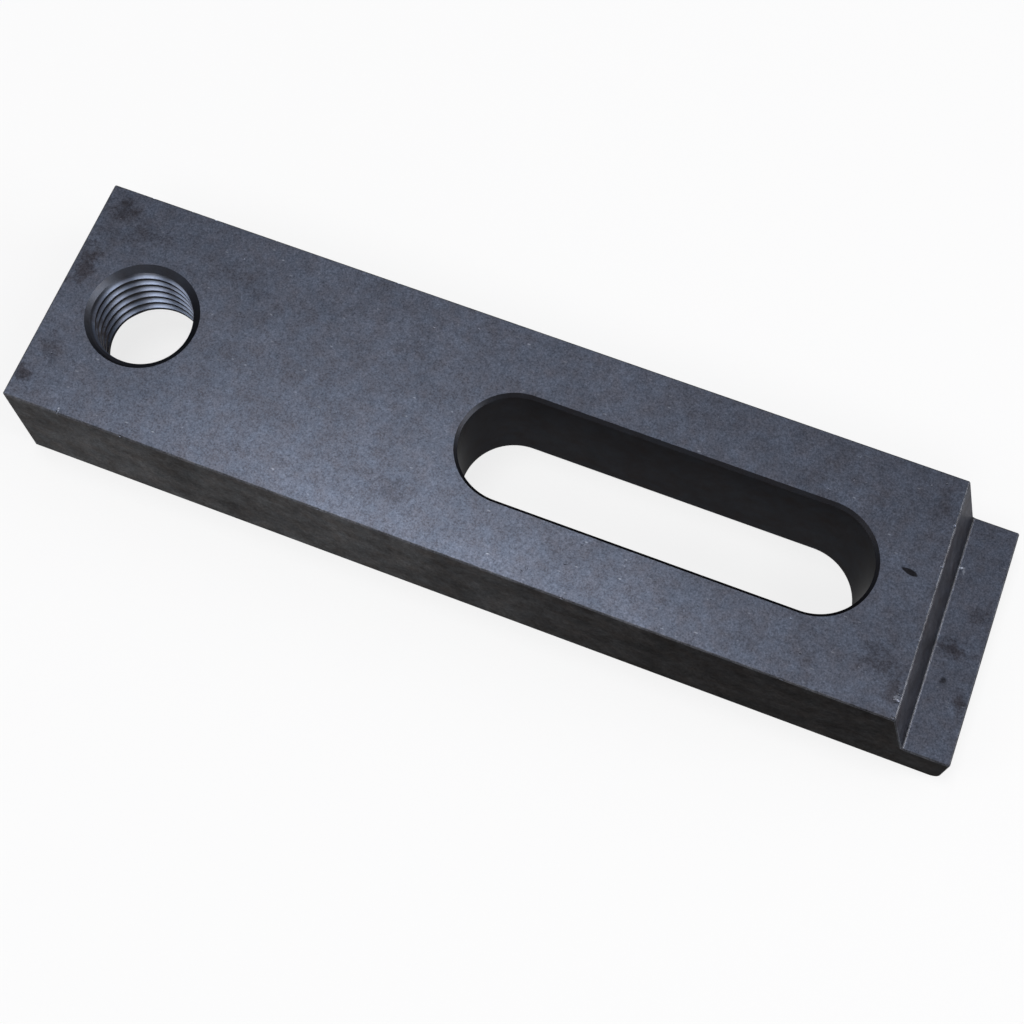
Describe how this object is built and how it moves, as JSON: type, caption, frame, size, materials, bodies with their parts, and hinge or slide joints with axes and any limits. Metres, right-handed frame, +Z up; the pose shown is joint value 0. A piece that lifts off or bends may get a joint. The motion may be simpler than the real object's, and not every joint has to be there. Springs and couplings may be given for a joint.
{
  "type": "mold clamp",
  "caption": "Machined steel strap clamp with a stepped toe, a closed stud slot along its centre line and a tapped jack screw hole in the heel.",
  "frame": {"origin": "middle of the underside", "axes": "+X from heel to toe, +Y across the bar, +Z up from the underside to the top face"},
  "size_m": [0.1934, 0.05, 0.025],
  "materials": {
    "black_oxide_steel": "milled and ground steel with a worn, blotchy black oxide finish"
  },
  "bodies": {
    "root": {"clamp_bar": "black_oxide_steel"}
  },
  "joints": []
}
